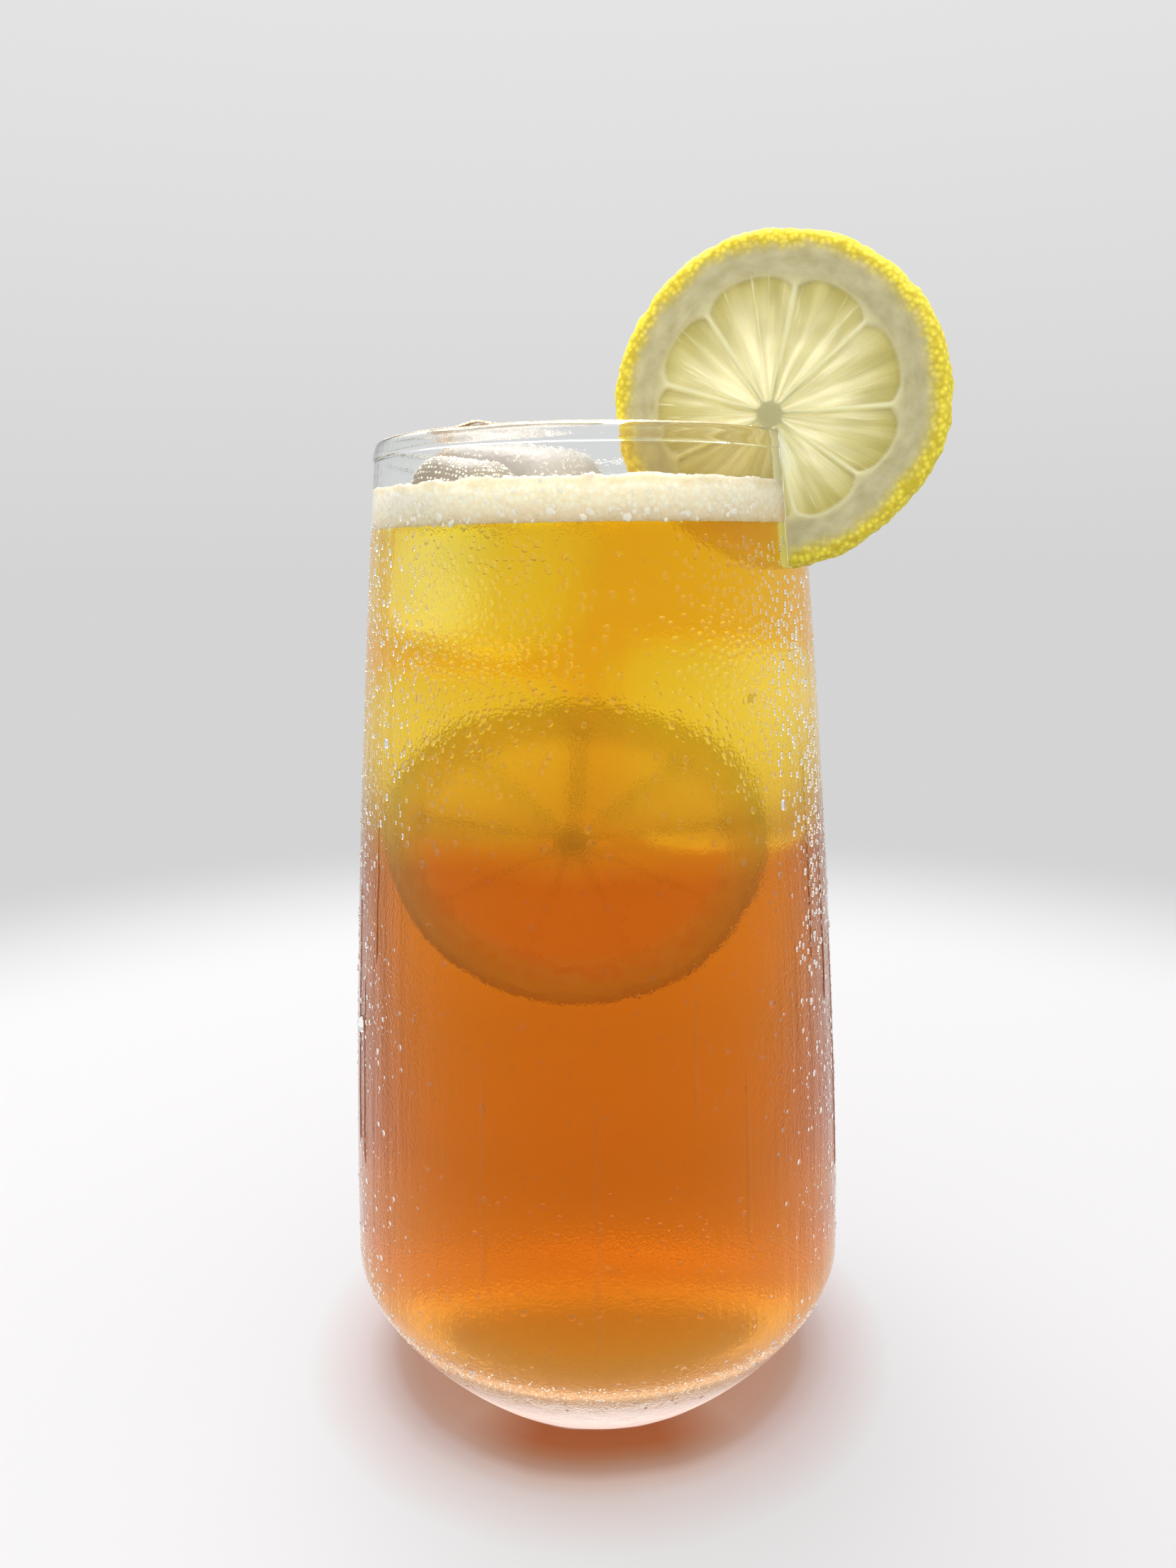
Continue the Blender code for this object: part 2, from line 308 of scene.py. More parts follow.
def ice_block(name, shape, grow, cuts):
    """Block with melted edges; grow makes the same block larger on every side."""
    size, place, angles = shape
    half = Vector(size) / 2 + Vector((grow, grow, grow))
    bm = bmesh.new()
    bmesh.ops.create_cube(bm, size=2)
    bmesh.ops.subdivide_edges(bm, edges=bm.edges[:], cuts=cuts, use_grid_fill=True)
    seed = Vector(place) / MM
    turn = Euler([math.radians(a) for a in angles]).to_matrix()
    for vertex in bm.verts:
        reach = sum(abs(c) ** ICE_SQUARENESS for c in vertex.co) ** (1 / ICE_SQUARENESS)
        form = vertex.co / reach
        form *= 1 + ICE_WOBBLE * noise.noise(form * 1.3 + seed)
        vertex.co = turn @ Vector([s * h for s, h in zip(form, half)]) + Vector(place)
    mesh = bpy.data.meshes.new(name)
    bm.to_mesh(mesh)
    bm.free()
    return link(bpy.data.objects.new(name, mesh))


class Nodes:
    """Short way to write a material's nodes; no glow is strong enough to serve as a lamp."""

    def __init__(self, name):
        self.material = bpy.data.materials.new(name)
        self.material.use_nodes = True
        self.material.cycles.emission_sampling = "NONE"
        self.tree = self.material.node_tree
        self.tree.nodes.clear()
        self.output = self.add("ShaderNodeOutputMaterial")

    def add(self, kind, inputs=None, **settings):
        node = self.tree.nodes.new(kind)
        for key, value in settings.items():
            setattr(node, key, value)
        for key, value in (inputs or {}).items():
            if isinstance(value, bpy.types.NodeSocket):
                self.tree.links.new(value, node.inputs[key])
            else:
                node.inputs[key].default_value = value
        return node

    def as_colour(self, value):
        return (*value, 1) if isinstance(value, tuple) else value

    def math(self, operation, a, b=0.0, clamp=False):
        return self.add("ShaderNodeMath", {0: a, 1: b}, operation=operation, use_clamp=clamp).outputs[0]

    def ramp(self, value, *stops):
        """Colour ramp; each stop is a place and a colour."""
        node = self.add("ShaderNodeValToRGB", {"Fac": value})
        elements = node.color_ramp.elements
        for element, (place, colour) in ((elements[0], stops[0]), (elements[1], stops[-1])):
            element.position = place
            element.color = (*colour, 1)
        for place, colour in stops[1:-1]:
            element = elements.new(place)
            element.color = (*colour, 1)
        return node.outputs["Color"]

    def range(self, value, low, high, to_low=0.0, to_high=1.0):
        inputs = {"Value": value, "From Min": low, "From Max": high, "To Min": to_low, "To Max": to_high}
        return self.add("ShaderNodeMapRange", inputs).outputs["Result"]

    def mix(self, factor, a, b, blend="MIX"):
        """Colour between a and b; with the blend MULTIPLY it is a, tinted by b."""
        inputs = {0: factor, 6: self.as_colour(a), 7: self.as_colour(b)}
        return self.add("ShaderNodeMix", inputs, data_type="RGBA", blend_type=blend).outputs[2]

    def mix_shaders(self, factor, a, b):
        return self.add("ShaderNodeMixShader", {0: factor, 1: a.outputs[0], 2: b.outputs[0]})

    def object_place(self):
        return self.add("ShaderNodeTexCoord").outputs["Object"]

    def axis(self, place, name):
        return self.add("ShaderNodeSeparateXYZ", {0: place}).outputs[name]

    def noise(self, place, scale, detail=2.0, roughness=0.5):
        inputs = {"Vector": place, "Scale": scale, "Detail": detail, "Roughness": roughness}
        return self.add("ShaderNodeTexNoise", inputs).outputs["Fac"]

    def cells(self, place, scale):
        return self.add("ShaderNodeTexVoronoi", {"Vector": place, "Scale": scale}).outputs["Distance"]

    def attribute(self, name):
        return self.add("ShaderNodeAttribute", attribute_name=name).outputs["Fac"]

    def bump(self, height, strength, distance, normal=None):
        inputs = {"Height": height, "Strength": strength, "Distance": distance}
        if normal is not None:
            inputs["Normal"] = normal
        return self.add("ShaderNodeBump", inputs).outputs["Normal"]

    def shader(self, inputs):
        return self.add("ShaderNodeBsdfPrincipled", inputs)

    def surface(self, node):
        self.tree.links.new(node.outputs[0], self.output.inputs["Surface"])
        return self.material


def glass_material(name, shine, mist, blur_and_foot_glow):
    """Misted glass; shine is low where the tea wets it, as hardly anything is reflected there. The foot has a
    painted glow.
    """
    n = Nodes(name)
    place = n.object_place()
    fog = n.noise(place, 160.0, 3.0)
    drawn = n.add("ShaderNodeVectorMath", {0: place, 1: (1.0, 1.0, 0.05)}, operation="MULTIPLY").outputs[0]
    runs = n.noise(drawn, 420.0, 2.0)
    grains = n.noise(place, 2200.0, 2.0)
    height = n.axis(place, "Z")
    patches = n.range(fog, 0.35, 0.65, 0.5, 1.0)
    streaks = n.range(runs, 0.4, 0.6, 0.02 * blur_and_foot_glow, 0.05 * blur_and_foot_glow)
    normal = n.bump(runs, 0.25 * blur_and_foot_glow, 0.0006, n.bump(grains, 0.30 * blur_and_foot_glow, 0.0003))
    shader = n.shader({
        "Base Color": (0.97, 0.985, 0.98, 1),
        "Roughness": n.math("MULTIPLY", patches, streaks),
        "IOR": 1.5,
        "Specular Tint": (shine, shine, shine, 1),
        "Transmission Weight": n.range(height, 5 * MM, 11 * MM, 0.40, 1.0),
        # Painted glow in the foot, fading out from 5 to 11 mm up, for light that gathers under the glass
        "Emission Color": (1.0, 0.93, 0.86, 1),
        "Emission Strength": n.range(height, 5 * MM, 11 * MM, 0.52 * blur_and_foot_glow, 0.0),
        "Sheen Weight": mist,
        "Sheen Roughness": 0.45,
        "Sheen Tint": (1.0, 0.96, 0.92, 1),
        "Normal": normal,
    })
    return n.surface(shader)


def tea_material():
    """Tea coloured by its depth and, by height, with painted light and a painted glow for the light that ice
    and froth send down into it.
    """
    n = Nodes("tea")
    place = n.object_place()
    height = n.axis(place, "Z")
    wavy = n.math("MULTIPLY", n.math("SUBTRACT", n.noise(place, 45.0), 0.5), 8 * MM)
    share = n.range(n.math("ADD", height, wavy), 0.0, TEA_TOP)
    tint = n.ramp(share, *TEA_TINT_AND_PAINTED_LIGHT)
    # Painted glow by height, in place of light that ice and froth send down
    glow = n.ramp(share, *TEA_PAINTED_GLOW)
    liquid = n.shader({
        "Base Color": tint,
        "Roughness": 0.0,
        "IOR": 1.333,
        "Specular Tint": (0.0, 0.0, 0.0, 1),
        "Transmission Weight": 1.0,
        "Emission Color": glow,
        "Emission Strength": 1.0,
    })
    hollow = n.add("ShaderNodeBsdfTransparent")
    volume = n.add("ShaderNodeVolumeAbsorption", {"Color": (0.978, 0.81, 0.0, 1), "Density": 80.0})
    n.tree.links.new(volume.outputs[0], n.output.inputs["Volume"])
    return n.surface(n.mix_shaders(n.attribute("hollow"), liquid, hollow))


def froth_material():
    """Cream froth: cells of small bubbles, tea-coloured along its lower edge, with a painted glow for light
    scattered through it.
    """
    n = Nodes("froth")
    place = n.object_place()
    height = n.axis(place, "Z")
    cells = n.cells(place, 1100.0)
    small = n.cells(place, 2600.0)
    ragged = n.math("MULTIPLY", n.math("SUBTRACT", n.noise(place, 500.0), 0.5), 1.6 * MM)
    share = n.range(n.math("ADD", height, ragged), TEA_TOP, FROTH_TOP)
    tone = n.ramp(share, (0.0, (0.66, 0.46, 0.18)), (0.14, (0.88, 0.76, 0.50)), (0.4, (0.95, 0.90, 0.72)),
                  (0.82, (0.97, 0.93, 0.80)), (1.0, (0.74, 0.62, 0.43)))
    colour = n.mix(n.range(cells, 0.25, 0.60, 0.0, 0.4), tone, (0.78, 0.66, 0.44))
    normal = n.bump(cells, 0.7, 0.0005, n.bump(small, 0.4, 0.0002))
    shader = n.shader({
        "Base Color": colour,
        "Roughness": 0.4,
        "Normal": normal,
        "Subsurface Weight": 1.0,
        "Subsurface Radius": (1.0, 0.95, 0.8),
        "Subsurface Scale": 0.006,
        # Painted glow: light that comes down through the froth from above
        "Emission Color": (1.0, 0.94, 0.77, 1),
        "Emission Strength": 0.12,
    })
    return n.surface(shader)


def bubble_material(name):
    """Thin wet bubbles, a little brighter than the froth under them, partly by a painted glow."""
    n = Nodes(name)
    cloud = n.noise(n.object_place(), 500.0)
    shader = n.shader({
        "Base Color": n.mix(cloud, (0.93, 0.87, 0.70), (1.0, 0.97, 0.87)),
        "Roughness": 0.18,
        # Painted glow
        "Emission Color": (1.0, 0.94, 0.78, 1),
        "Emission Strength": 0.06,
    })
    return n.surface(shader)


def rim_froth_material():
    """Dried froth on the lip, tan with brighter grains."""
    n = Nodes("rim_froth")
    grain = n.noise(n.object_place(), 1500.0)
    shader = n.shader({
        "Base Color": n.mix(n.range(grain, 0.40, 0.60), (0.46, 0.30, 0.15), (0.82, 0.68, 0.48)),
        "Roughness": 0.25,
    })
    return n.surface(shader)


def ice_material(name):
    """Floating ice: tan-grey and cloudy above the froth, with painted shade on the small block, pale and
    clear in the tea.
    """
    n = Nodes(name)
    place = n.object_place()
    height = n.axis(place, "Z")
    above = n.range(height, TEA_TOP - 1 * MM, FROTH_TOP)
    cloud = n.noise(place, 110.0, 3.0)
    thick = n.range(cloud, 0.42, 0.62)
    melt = n.bump(n.noise(place, 260.0), 0.3, 0.0006, n.bump(n.noise(place, 900.0), 0.3, 0.0004))
    clear = n.mix(thick, (0.42, 0.38, 0.34), (0.52, 0.48, 0.44))
    tan = n.mix(thick, (0.40, 0.31, 0.22), (0.47, 0.38, 0.28))
    shader = n.shader({
        # Tan along the left edges, and painted shade on the small block
        "Base Color": n.mix(above, (0.99, 0.97, 0.90), n.mix(n.attribute("tan_and_shade"), clear, tan)),
        "Roughness": n.range(cloud, 0.3, 0.7, 0.22, 0.45),
        "IOR": 1.31,
        "Specular Tint": (0.25, 0.25, 0.25, 1),
        "Transmission Weight": n.range(above, 0.0, 1.0, 0.95, 0.35),
        "Normal": melt,
    })
    return n.surface(shader)


def sunk_ice_material():
    """Ice in the tea: it hardly bends light there, so only its melted surface shows; its milky places have a
    painted glow.
    """
    n = Nodes("sunk_ice")
    place = n.object_place()
    cloud = n.noise(place, 110.0, 3.0)
    milk = n.range(cloud, 0.35, 0.65, 0.03, 0.14)
    shader = n.shader({
        "Base Color": n.mix(n.range(cloud, 0.42, 0.62), (0.96, 0.95, 0.92), (1.0, 0.99, 0.97)),
        "Roughness": n.range(cloud, 0.3, 0.7, 0.05, 0.20),
        "IOR": 1.03,
        "Specular Tint": (0.5, 0.5, 0.5, 1),
        "Transmission Weight": 1.0,
        # Painted glow in the milky places, for light scattered down from above
        "Emission Color": (1.0, 0.84, 0.56, 1),
        "Emission Strength": n.math("MULTIPLY", n.attribute("cloudy"), milk),
        "Normal": n.bump(n.noise(place, 260.0), 0.5, 0.0008),
    })
    return n.surface(shader)


def water_material(name, colour, ior):
    """Clear drops of water; ior is kept low so that they stand out no more than wet glass does."""
    n = Nodes(name)
    paler = tuple(min(1.0, part + 0.04) for part in colour)
    shader = n.shader({
        "Base Color": n.mix(n.noise(n.object_place(), 300.0), colour, paler),
        "Roughness": 0.03,
        "IOR": ior,
        "Specular Tint": (0.5, 0.5, 0.5, 1),
        "Transmission Weight": 1.0,
    })
    return n.surface(shader)


def lemon_material(name):
    """Rind, pith and flesh by the masks stored in the mesh, with pulp drawn out from the hub, painted shade
    inside the glass and a painted glow where the tea soaks it.
    """
    n = Nodes(name)
    place = n.object_place()
    flesh = n.attribute("flesh")
    rind = n.attribute("rind")
    radius = n.attribute("radius")
    cosine = n.attribute("cosine")
    sine = n.attribute("sine")

    def drawn_out(around, along):
        parts = [n.math("MULTIPLY", cosine, around), n.math("MULTIPLY", sine, around),
                 n.math("MULTIPLY", radius, along)]
        return n.add("ShaderNodeCombineXYZ", dict(enumerate(parts))).outputs[0]

    sacs = n.range(n.noise(drawn_out(6.0, 2.0), 1.0, 1.5), 0.42, 0.62)
    threads = n.noise(drawn_out(24.0, 3.0), 1.0, 2.0)
    inner = n.mix(sacs, (0.66, 0.62, 0.33), (0.82, 0.79, 0.52))
    outer = n.mix(sacs, (0.42, 0.36, 0.10), (0.50, 0.44, 0.15))
    pulp = n.mix(n.range(radius, 0.34, 0.72), inner, outer)
    pulp = n.mix(n.range(threads, 0.62, 0.72, 0.0, 0.35), pulp, (0.96, 0.94, 0.74))
    skin = n.math("MULTIPLY", n.math("MULTIPLY", flesh, n.math("SUBTRACT", 1.0, flesh)), 2.0, clamp=True)
    drawn_round = n.noise(drawn_out(7.0, 14.0), 1.0, 3.0)
    pith = n.mix(n.range(drawn_round, 0.30, 0.70), (0.39, 0.35, 0.19), (0.50, 0.46, 0.28))
    membrane = n.mix(n.range(radius, 0.12, 0.24), (0.40, 0.38, 0.20), (0.60, 0.57, 0.33))
    pith = n.mix(n.range(radius, 0.66, 0.74), membrane, pith)
    soft = n.mix(skin, n.mix(flesh, pith, pulp), n.mix(n.range(radius, 0.3, 0.7), inner, (0.56, 0.53, 0.33)))
    pores = n.cells(place, 1300.0)
    peel = n.mix(n.range(pores, 0.1, 0.7), (0.75, 0.66, 0.08), (0.50, 0.41, 0.035))
    colour = n.mix(rind, soft, peel)
    # Painted shade on the part of the wheel inside the glass
    colour = n.mix(n.attribute("painted_shade_in_glass"), colour, (0.80, 0.70, 0.42), "MULTIPLY")
    # Below the tea the wheel is orange where the tea soaks it, with a painted glow for light coming through
    # the tea
    soaked_and_glowing = n.attribute("soaked_and_glowing")
    colour = n.mix(soaked_and_glowing, colour, n.mix(rind, (0.85, 0.45, 0.08), (0.90, 0.55, 0.05)))
    pitted = n.bump(pores, n.math("MULTIPLY", rind, 0.5), 0.0004)
    fine = n.bump(n.noise(place, 900.0, 2.0), 0.25, 0.0003, pitted)
    shader = n.shader({
        "Base Color": colour,
        "Roughness": n.range(flesh, 0.0, 1.0, 0.55, 0.30),
        "Specular IOR Level": 0.2,
        "Emission Color": (1.0, 0.48, 0.03, 1),
        "Emission Strength": n.math("MULTIPLY", soaked_and_glowing, 0.16),
        "Normal": n.bump(threads, n.math("MULTIPLY", flesh, 0.35), 0.0005, fine),
        "Subsurface Weight": 0.8,
        "Subsurface Radius": (1.0, 0.85, 0.3),
        "Subsurface Scale": 0.004,
        "IOR": 1.4,
    })
    return n.surface(shader)


def slit_material():
    """Cut flesh inside the slit, kept bright by a painted glow that stands in for light coming through the
    slice.
    """
    n = Nodes("lemon_slit")
    wet = n.noise(n.object_place(), 500.0)
    shader = n.shader({
        "Base Color": n.mix(wet, (0.56, 0.51, 0.25), (0.70, 0.65, 0.38)),
        "Roughness": 0.4,
        # Painted glow on the shaded slit walls
        "Emission Color": (1.0, 0.93, 0.55, 1),
        "Emission Strength": 0.24,
    })
    return n.surface(shader)


def sunk_lemon_material():
    """Soaked slice: it filters the light, its rind most, its membranes as soft dark lines; its rind also has
    a faint painted glow.
    """
    n = Nodes("sunk_lemon")
    place = n.object_place()
    flesh = n.attribute("flesh")
    rind = n.attribute("rind")
    cloud = n.noise(place, 420.0, 3.0)
    height = n.axis(place, "Z")
    pulp = n.mix(cloud, (0.92, 0.74, 0.54), (1.0, 0.84, 0.66))
    ring = n.mix(n.range(height, 72 * MM, 98 * MM), (0.98, 0.38, 0.04), (0.84, 0.66, 0.20))
    pith = n.mix(n.range(cloud, 0.3, 0.9), ring, (0.95, 0.80, 0.28))
    membrane = n.mix(cloud, (0.36, 0.28, 0.14), (0.50, 0.40, 0.22))
    membrane = n.mix(n.range(height, 84 * MM, 93 * MM), (0.90, 0.72, 0.50), membrane)
    pith = n.mix(n.range(n.attribute("radius"), 0.76, 0.80), membrane, pith)
    peel = n.mix(n.range(height, 72 * MM, 98 * MM), (0.95, 0.56, 0.08), (0.74, 0.69, 0.22))
    colour = n.mix(rind, n.mix(flesh, pith, pulp), peel)
    shader = n.shader({
        "Base Color": colour,
        "Roughness": 0.5,
        "IOR": 1.10,
        "Specular Tint": (0.3, 0.3, 0.3, 1),
        "Transmission Weight": n.range(n.attribute("radius"), 0.76, 0.84, 0.95, 0.45),
        # Faint painted glow on the rind
        "Emission Color": (1.0, 0.62, 0.05, 1),
        "Emission Strength": n.range(n.attribute("radius"), 0.78, 0.86, 0.0, 0.04),
        "Normal": n.bump(cloud, 0.25, 0.0005),
    })
    return n.surface(shader)


def floor_material():
    """White sheet on a light table, with painted light under the foot and a painted, tea-coloured shadow
    round it, more orange in front.
    """
    n = Nodes("floor")
    place = n.object_place()
    reach = n.add("ShaderNodeVectorMath", {0: place}, operation="LENGTH").outputs["Value"]
    ragged = n.math("ADD", reach, n.math("MULTIPLY", n.math("SUBTRACT", n.noise(place, 60.0), 0.5), 1.5 * MM))
    share = n.range(ragged, 0.0, PAINTED_SHADOW_REACH)
    to_front = n.math("DIVIDE", n.axis(place, "Y"), reach)
    # Painted shadow and painted light round the foot, more orange in front
    painted_shadow = n.mix(n.range(to_front, -0.75, -0.95), n.ramp(share, *PAINTED_SHADOW_ASIDE), n.ramp(share, *PAINTED_SHADOW_FRONT))
    colour = n.mix(n.noise(place, 6.0), (0.975, 0.975, 0.98), (0.99, 0.99, 1.0))
    sheet = n.mix(1.0, colour, painted_shadow, "MULTIPLY")
    paper = n.mix(FLOOR_WHITENESS, (0.0, 0.0, 0.0), sheet)
    shader = n.shader({
        "Base Color": paper,
        "Roughness": 0.6,
        "Specular IOR Level": 0.3,
        "Emission Color": sheet,
        "Emission Strength": FLOOR_GLOW,
    })
    limits = {"Value": reach, "From Min": FLOOR_FADE[0], "From Max": FLOOR_FADE[1]}
    fade = n.add("ShaderNodeMapRange", limits, interpolation_type="SMOOTHSTEP").outputs["Result"]
    return n.surface(n.mix_shaders(fade, shader, n.add("ShaderNodeBsdfTransparent")))


def assign(obj, material):
    obj.data.materials.clear()
    obj.data.materials.append(material)


def wheel_outline(angle):
    """Share of the radius at an angle: a lemon is never quite round."""
    return 1 + sum(depth * math.sin(waves * angle + start) for waves, depth, start in WHEEL_OUTLINE)


def segment_at(angle, membranes):
    """Place between two membranes, from -1 to 1, and the segment's half angle."""
    turn = math.degrees(math.pi / 2 - angle) % 360
    for i, start in enumerate(membranes):
        end = membranes[(i + 1) % len(membranes)]
        width = (end - start) % 360
        into = (turn - start) % 360
        if into < width:
            return 2 * into / width - 1, math.radians(width) / 2
    return 0, math.radians(20)


def flesh_mask(x, y, hub, membranes, flesh_radius, hub_radius):
    """1 in the segments, 0 in pith, membranes and hub; the membranes meet at the hub."""
    from_hub = math.hypot(x - hub[0], y - hub[1])
    across, half = segment_at(math.atan2(y - hub[1], x - hub[0]), membranes)
    to_membrane = (1 - abs(across)) * half * from_hub
    end = flesh_radius * (1 - 0.11 * abs(across) ** 3.5)
    mask = smoothstep(0.05 * MM, 0.50 * MM, to_membrane)
    mask *= smoothstep(hub_radius, hub_radius + 0.9 * MM, from_hub)
    return mask * (1 - smoothstep(end - 0.7 * MM, end, math.hypot(x, y)))


def lemon_slice(name, slice_radius, thickness, flesh_share, relief, hub, membranes, seed):
    """Round slice about Z with the flesh sunk between pith and membranes and a bumpy rind."""
    steps = 400
    face_rings = 64
    edge_rows = 14
    half = thickness / 2
    rounding = 1.3 * MM
    hub_radius = slice_radius * 0.07
    rows = [(r, half) for r in spread(0, slice_radius - rounding, face_rings)]
    for i in range(1, edge_rows):
        turn = math.pi * i / edge_rows
        rows.append((slice_radius - rounding + rounding * math.sin(turn), half * math.cos(turn)))
    rows += [(r, -z) for r, z in reversed(rows[:face_rings + 1])]
    obj = turned(name, rows, steps)
    masks = []
    for vertex in obj.data.vertices:
        x, y, z = vertex.co
        radius = math.hypot(x, y)
        flesh = flesh_mask(x, y, hub, membranes, slice_radius * flesh_share, hub_radius)
        around = math.atan2(y - hub[1], x - hub[0])
        ripple = noise.noise(Vector((math.cos(around) * 6, math.sin(around) * 6, radius / (3 * MM) + seed)))
        depth = slice_radius - radius
        ragged = 0.5 * MM * noise.noise(vertex.co / (1.2 * MM)) + 0.7 * MM * noise.noise(vertex.co / (5 * MM))
        rind = 1 - smoothstep(1.2 * MM, 3.6 * MM, depth + ragged)
        drop = flesh * (0.30 - 0.22 * ripple) * relief * MM
        pores = noise.noise(vertex.co / (0.9 * MM) + Vector((seed, 0, 0)))
        lumps = noise.noise(vertex.co / (3.5 * MM) + Vector((0, seed, 0)))
        edge = smoothstep(3 * MM, 1 * MM, depth)
        push = (0.28 * pores + 0.30 * lumps) * MM * edge / slice_radius
        scale = wheel_outline(math.atan2(y, x) + seed) + push
        puff = 0.18 * MM * rind * noise.noise(vertex.co / (1.1 * MM)) * (1 if abs(z) > half * 0.9 else 0)
        vertex.co = (x * scale, y * scale, z - math.copysign(drop - puff, z))
        masks.append((flesh, rind, radius / slice_radius, math.cos(around), math.sin(around)))
    for key, values in zip(("flesh", "rind", "radius", "cosine", "sine"), zip(*masks)):
        add_mask(obj, key, values)
    return obj


def add_mask(obj, name, values):
    """One number for each vertex, read by a material through its name."""
    layer = obj.data.attributes.new(name, "FLOAT", "POINT")
    layer.data.foreach_set("value", values)


def place_mesh(obj, matrix):
    obj.data.transform(matrix)
    obj.data.update()


def facing_front(turn, lean=0.0):
    """Turns a slice that lies flat so that it faces -Y, then about Z, leaning its top to the front."""
    stand = Matrix.Rotation(math.pi / 2, 4, "X")
    return Matrix.Rotation(turn, 4, "Z") @ Matrix.Rotation(lean, 4, "X") @ stand


def wall_cutter(gap):
    """The wall of the glass made gap larger on each side: the slit of the wheel."""
    heights = spread(TEA_TOP - 12 * MM, HEIGHT, 6)
    inside = [(inner_radius(z) - gap, z) for z in heights]
    outside = [(outer_radius(z) + gap, z) for z in reversed(heights)]
    points = inside + [(inside[-1][0], HEIGHT + gap), (outside[0][0], HEIGHT + gap)] + outside + [inside[0]]
    return turned("wall_cutter", points)


def make_wheel():
    wheel = lemon_slice("lemon_wheel_on_rim", WHEEL_RADIUS, WHEEL_THICKNESS, WHEEL_FLESH, WHEEL_RELIEF,
                        WHEEL_HUB, WHEEL_MEMBRANES, 0)
    place_mesh(wheel, Matrix.Translation(WHEEL_CENTRE) @ facing_front(WHEEL_TURN))
    cut(wheel, [wall_cutter(SLIT_GAP)])
    smooth(wheel, 50)
    painted_shade_in_glass = []
    soaked_and_glowing = []
    for vertex in wheel.data.vertices:
        x, y, z = vertex.co
        inside = 1.0 if math.hypot(x, y) < inner_radius(z) else 0.0
        # Painted shade inside the glass, below the lip
        painted_shade_in_glass.append(inside * smoothstep(HEIGHT + 0.5 * MM, HEIGHT - 1.5 * MM, z))
        # Soaked part, which also gets a painted glow
        soaked_and_glowing.append(inside * smoothstep(TEA_TOP + 1.5 * MM, TEA_TOP - 0.5 * MM, z))
    add_mask(wheel, "painted_shade_in_glass", painted_shade_in_glass)
    add_mask(wheel, "soaked_and_glowing", soaked_and_glowing)
    assign(wheel, lemon_material("lemon"))
    wheel.data.materials.append(slit_material())
    for polygon in wheel.data.polygons:
        x, y, z = polygon.center
        beside = 0.15 * MM
        in_wall = inner_radius(z) - beside < math.hypot(x, y) < outer_radius(z) + beside
        polygon.material_index = 1 if in_wall and z < HEIGHT + beside else 0
    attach(wheel, BODY)
    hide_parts("lemon_wheel")


def make_sunk_slice():
    piece = lemon_slice("sunk_lemon_slice", SUNK_RADIUS, SUNK_THICKNESS, SUNK_FLESH, SUNK_RELIEF,
                        (0, 0), SUNK_MEMBRANES, 3)
    place_mesh(piece, Matrix.Translation(SUNK_CENTRE) @ facing_front(SUNK_TURN, SUNK_LEAN))
    smooth(piece, 50)
    assign(piece, sunk_lemon_material())
    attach(piece, BODY)


def make_glass():
    glass = smooth(turned("tumbler", glass_profile()))
    assign(glass, glass_material("glass_clear_rim", 0.45, 0.0, 0.12))
    glass.data.materials.append(glass_material("glass_wetted", 0.0, 0.0, 0.0))
    glass.data.materials.append(glass_material("glass_misted", 0.08, 0.03, 1.0))
    for polygon in glass.data.polygons:
        x, y, z = polygon.center
        inside = math.hypot(x, y) < (inner_radius(z) + outer_radius(z)) / 2 and z > BASE_THICKNESS / 2
        if z < FROTH_TOP:
            polygon.material_index = 1 if inside else 2
    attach(glass, BODY)
    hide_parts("glass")


def make_tea():
    points = list(reversed(inner_wall(TEA_TOP, INTO_WALL) + [(0, TEA_TOP)]))
    tea = turned("iced_tea", points)
    ices = (*ICE_OUT.values(), *ICE_SUNK.values())
    cut(tea, [ice_block("room", shape, ROOM_GAP, 10) for shape in ices])
    hollow = []
    for vertex in tea.data.vertices:
        x, y, z = vertex.co
        at_wall = math.hypot(x, y) > inner_radius(z) + INTO_WALL - 0.2 * MM or z < BASE_THICKNESS
        hollow.append(0.0 if at_wall or z > TEA_TOP - 0.01 * MM else 1.0)
    add_mask(tea, "hollow", hollow)
    smooth(tea)
    assign(tea, tea_material())
    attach(tea, BODY)
    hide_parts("tea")


def froth_height(x, y):
    place = Vector((x, y, 0))
    radius = math.hypot(x, y) / inner_radius(FROTH_TOP)
    bumps = 0.45 * noise.noise(place / (3.2 * MM)) + 0.22 * noise.noise(place / (0.9 * MM))
    return FROTH_TOP + bumps * MM + 0.5 * MM * radius ** 4


def make_froth():
    low = TEA_TOP + 0.02 * MM
    edge_low = inner_radius(low) + INTO_WALL
    edge_top = inner_radius(FROTH_TOP) + INTO_WALL
    points = [(r, FROTH_TOP) for r in spread(0, edge_top, 60)]
    points += [(edge_low, low), (0, low)]
    froth = turned("froth", points, 256)
    for vertex in froth.data.vertices:
        if vertex.co.z > (low + FROTH_TOP) / 2:
            vertex.co.z = froth_height(vertex.co.x, vertex.co.y)
    cut(froth, [ice_block("room", shape, ROOM_GAP, 10) for shape in ICE_OUT.values()])
    smooth(froth, 60)
    assign(froth, froth_material())
    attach(froth, BODY)
    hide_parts("foam")


